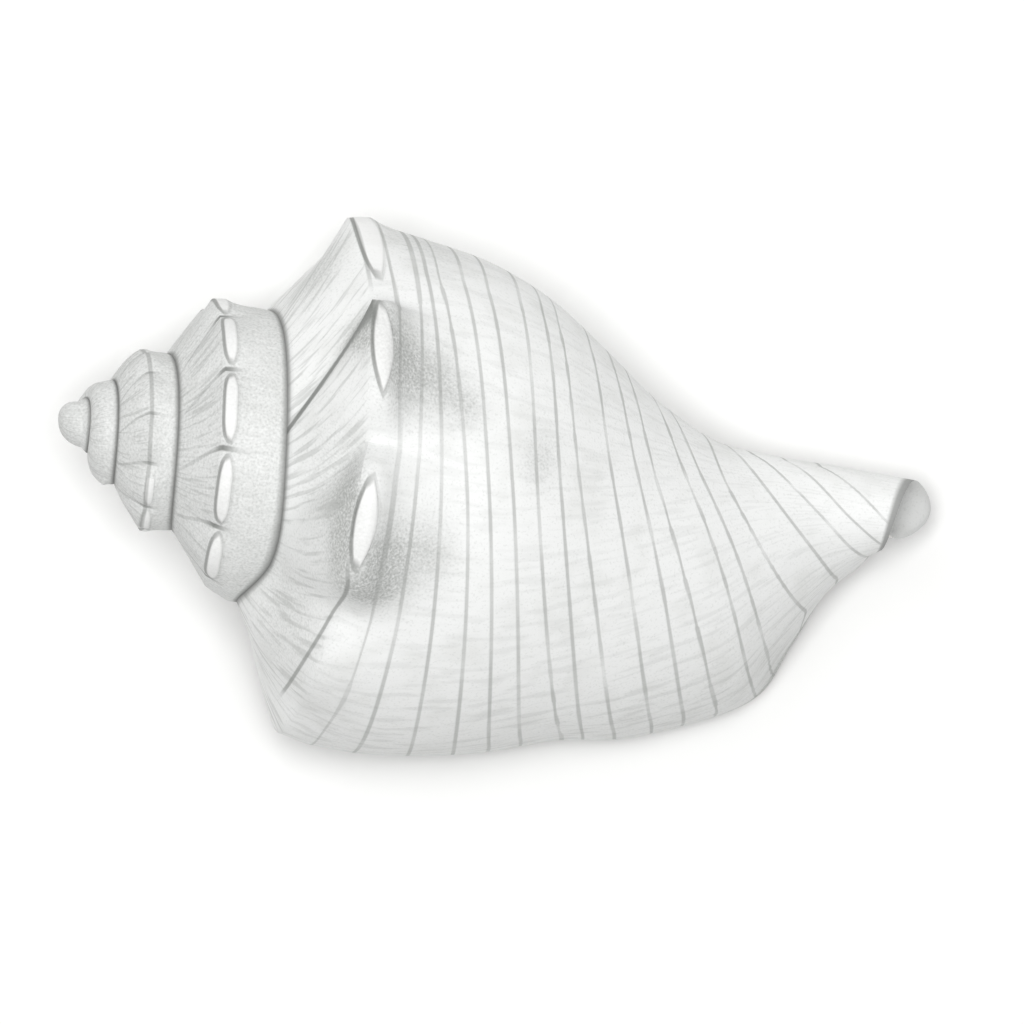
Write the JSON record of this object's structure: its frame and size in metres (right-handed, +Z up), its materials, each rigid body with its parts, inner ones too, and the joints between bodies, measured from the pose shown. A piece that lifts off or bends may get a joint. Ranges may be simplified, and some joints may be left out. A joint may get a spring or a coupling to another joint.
{
  "type": "conch shell",
  "caption": "Large right-handed conch shell with a stepped spire, knobbed shoulder, flared outer lip, hollow last whorl and long siphonal canal, lying on its aperture.",
  "frame": {"origin": "on the surface the shell lies on, below the centre of its bounding box", "axes": "+X along the coiling axis from the apex to the end of the siphonal canal, +Z up through the shell's back, -Y towards the outer lip, so the aperture opens towards -Z"},
  "size_m": [0.2018, 0.1216, 0.1009],
  "materials": {
    "shell": "matte, chalky and bleached outside, smooth in the aperture"
  },
  "bodies": {
    "root": {"shell": "shell"}
  },
  "joints": []
}
